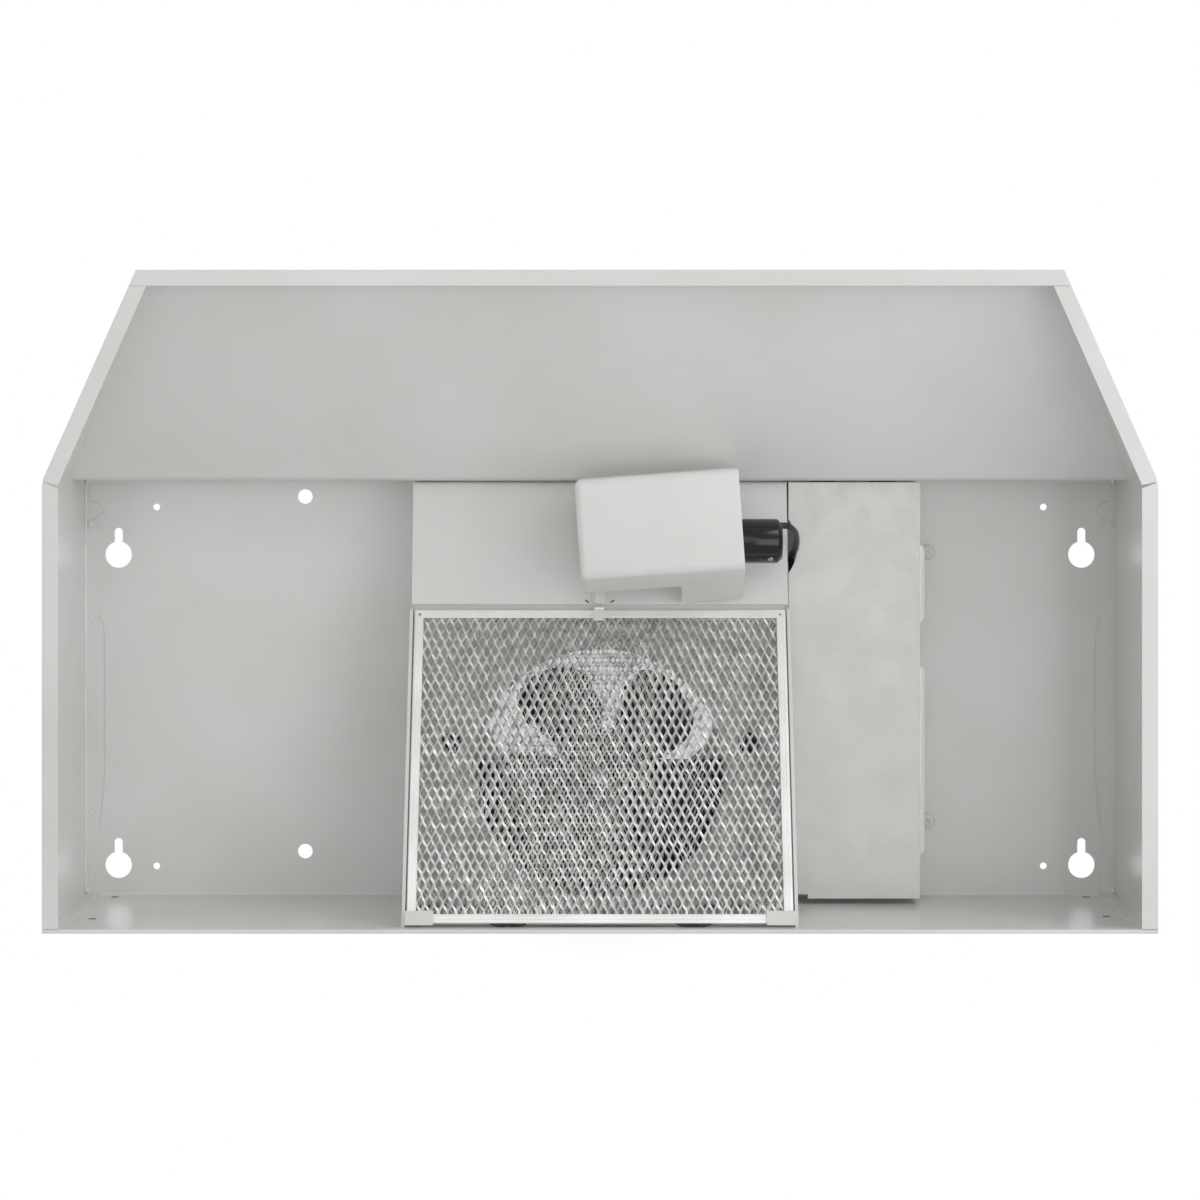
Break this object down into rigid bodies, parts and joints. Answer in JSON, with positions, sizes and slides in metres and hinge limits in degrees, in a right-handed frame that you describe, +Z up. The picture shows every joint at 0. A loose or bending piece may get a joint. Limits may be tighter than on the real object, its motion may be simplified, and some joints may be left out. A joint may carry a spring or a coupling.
{
  "type": "range hood",
  "caption": "Under-cabinet range hood of painted sheet steel with mitred front corners, an axial fan behind a tilting grease filter, a lamp under a swing-down lens and a wiring cover.",
  "frame": {"origin": "middle of the rim plane, the lowest plane of the hood", "axes": "+X along the width, right as seen from the front; +Y to the wall; +Z up to the cabinet"},
  "size_m": [0.762, 0.4536, 0.1524],
  "materials": {
    "painted_steel": "semi-gloss light grey enamel on folded sheet steel",
    "galvanised_steel": "hot-dip galvanised sheet with a faint mottle",
    "filter_aluminium": "bright mill-finish aluminium",
    "spring_steel": "bright plated steel",
    "lens_plastic": "translucent white moulded plastic",
    "black_phenolic": "glossy black moulded phenolic",
    "black_paint": "black painted fan wheel and motor plate",
    "socket_brass": "bright brass",
    "bulb_glass": "clear lamp glass with a frosted inside",
    "copper_winding": "varnished copper winding",
    "motor_iron": "blued electrical sheet stack",
    "cast_zinc": "die-cast bearing bridges",
    "lead_insulation": "black lead insulation",
    "nylon": "natural nylon",
    "green_zinc": "green bonding screw",
    "black_nylon": "black moulded switch plastic"
  },
  "bodies": {
    "root": {"hood_shell": "painted_steel", "left_side_panel": "painted_steel", "right_side_panel": "painted_steel", "fan_housing": "painted_steel", "housing_cheeks": "painted_steel", "lens_strap": "painted_steel", "filter_corner_clips": "painted_steel", "cover_screws": "painted_steel", "knockouts": "painted_steel", "wiring_cover": "galvanised_steel", "lamp_bracket": "galvanised_steel", "lens_hangers": "galvanised_steel", "plug_bracket": "galvanised_steel", "bulb_cap": "filter_aluminium", "lens_hinge_pin": "spring_steel", "motor_screws": "spring_steel", "lamp_socket": "black_phenolic", "motor_bracket": "black_paint", "socket_screw_shell": "socket_brass", "bearing_bushes": "socket_brass", "light_bulb": "bulb_glass", "motor_coil": "copper_winding", "motor_stack": "motor_iron", "motor_bridges": "cast_zinc", "lamp_leads": "lead_insulation", "motor_leads": "lead_insulation", "lead_grommet": "lead_insulation", "motor_plug": "nylon", "wire_connectors": "nylon", "ground_screw": "green_zinc", "light_switch_body": "black_nylon", "fan_switch_body": "black_nylon"},
    "fan": {"motor_rotor": "motor_iron", "motor_shaft": "spring_steel", "fan_wheel": "black_paint", "fan_clip": "spring_steel"},
    "filter": {"filter_frame": "filter_aluminium", "filter_mesh_lower": "filter_aluminium", "filter_mesh_upper": "filter_aluminium", "filter_pull_tab": "filter_aluminium", "filter_springs": "spring_steel"},
    "lens": {"light_lens": "lens_plastic"},
    "light_rocker": {"light_switch_rocker": "black_nylon"},
    "fan_rocker": {"fan_switch_rocker": "black_nylon"}
  },
  "joints": [
    {"name": "fan_spin", "type": "hinge", "parent": "root", "child": "fan", "pos_m": [0, 0.1295, 0.098], "axis": [0, 0, 1], "continuous": true},
    {"name": "filter_tilt", "type": "hinge", "parent": "root", "child": "filter", "pos_m": [0, 0.21342, 0.0134], "axis": [1, 0, 0], "range_deg": [0, 60]},
    {"name": "lens_swing", "type": "hinge", "parent": "root", "child": "lens", "pos_m": [0.03947, -0.07667, 0.09], "axis": [-0.9975, 0.0711, 0], "range_deg": [0, 45]},
    {"name": "light_switch_rock", "type": "hinge", "parent": "root", "child": "light_rocker", "pos_m": [0.163, -0.0826, 0.128], "axis": [1, 0, 0], "range_deg": [0, 20]},
    {"name": "fan_switch_rock", "type": "hinge", "parent": "root", "child": "fan_rocker", "pos_m": [0.206, -0.0826, 0.128], "axis": [1, 0, 0], "range_deg": [-10, 10]}
  ]
}
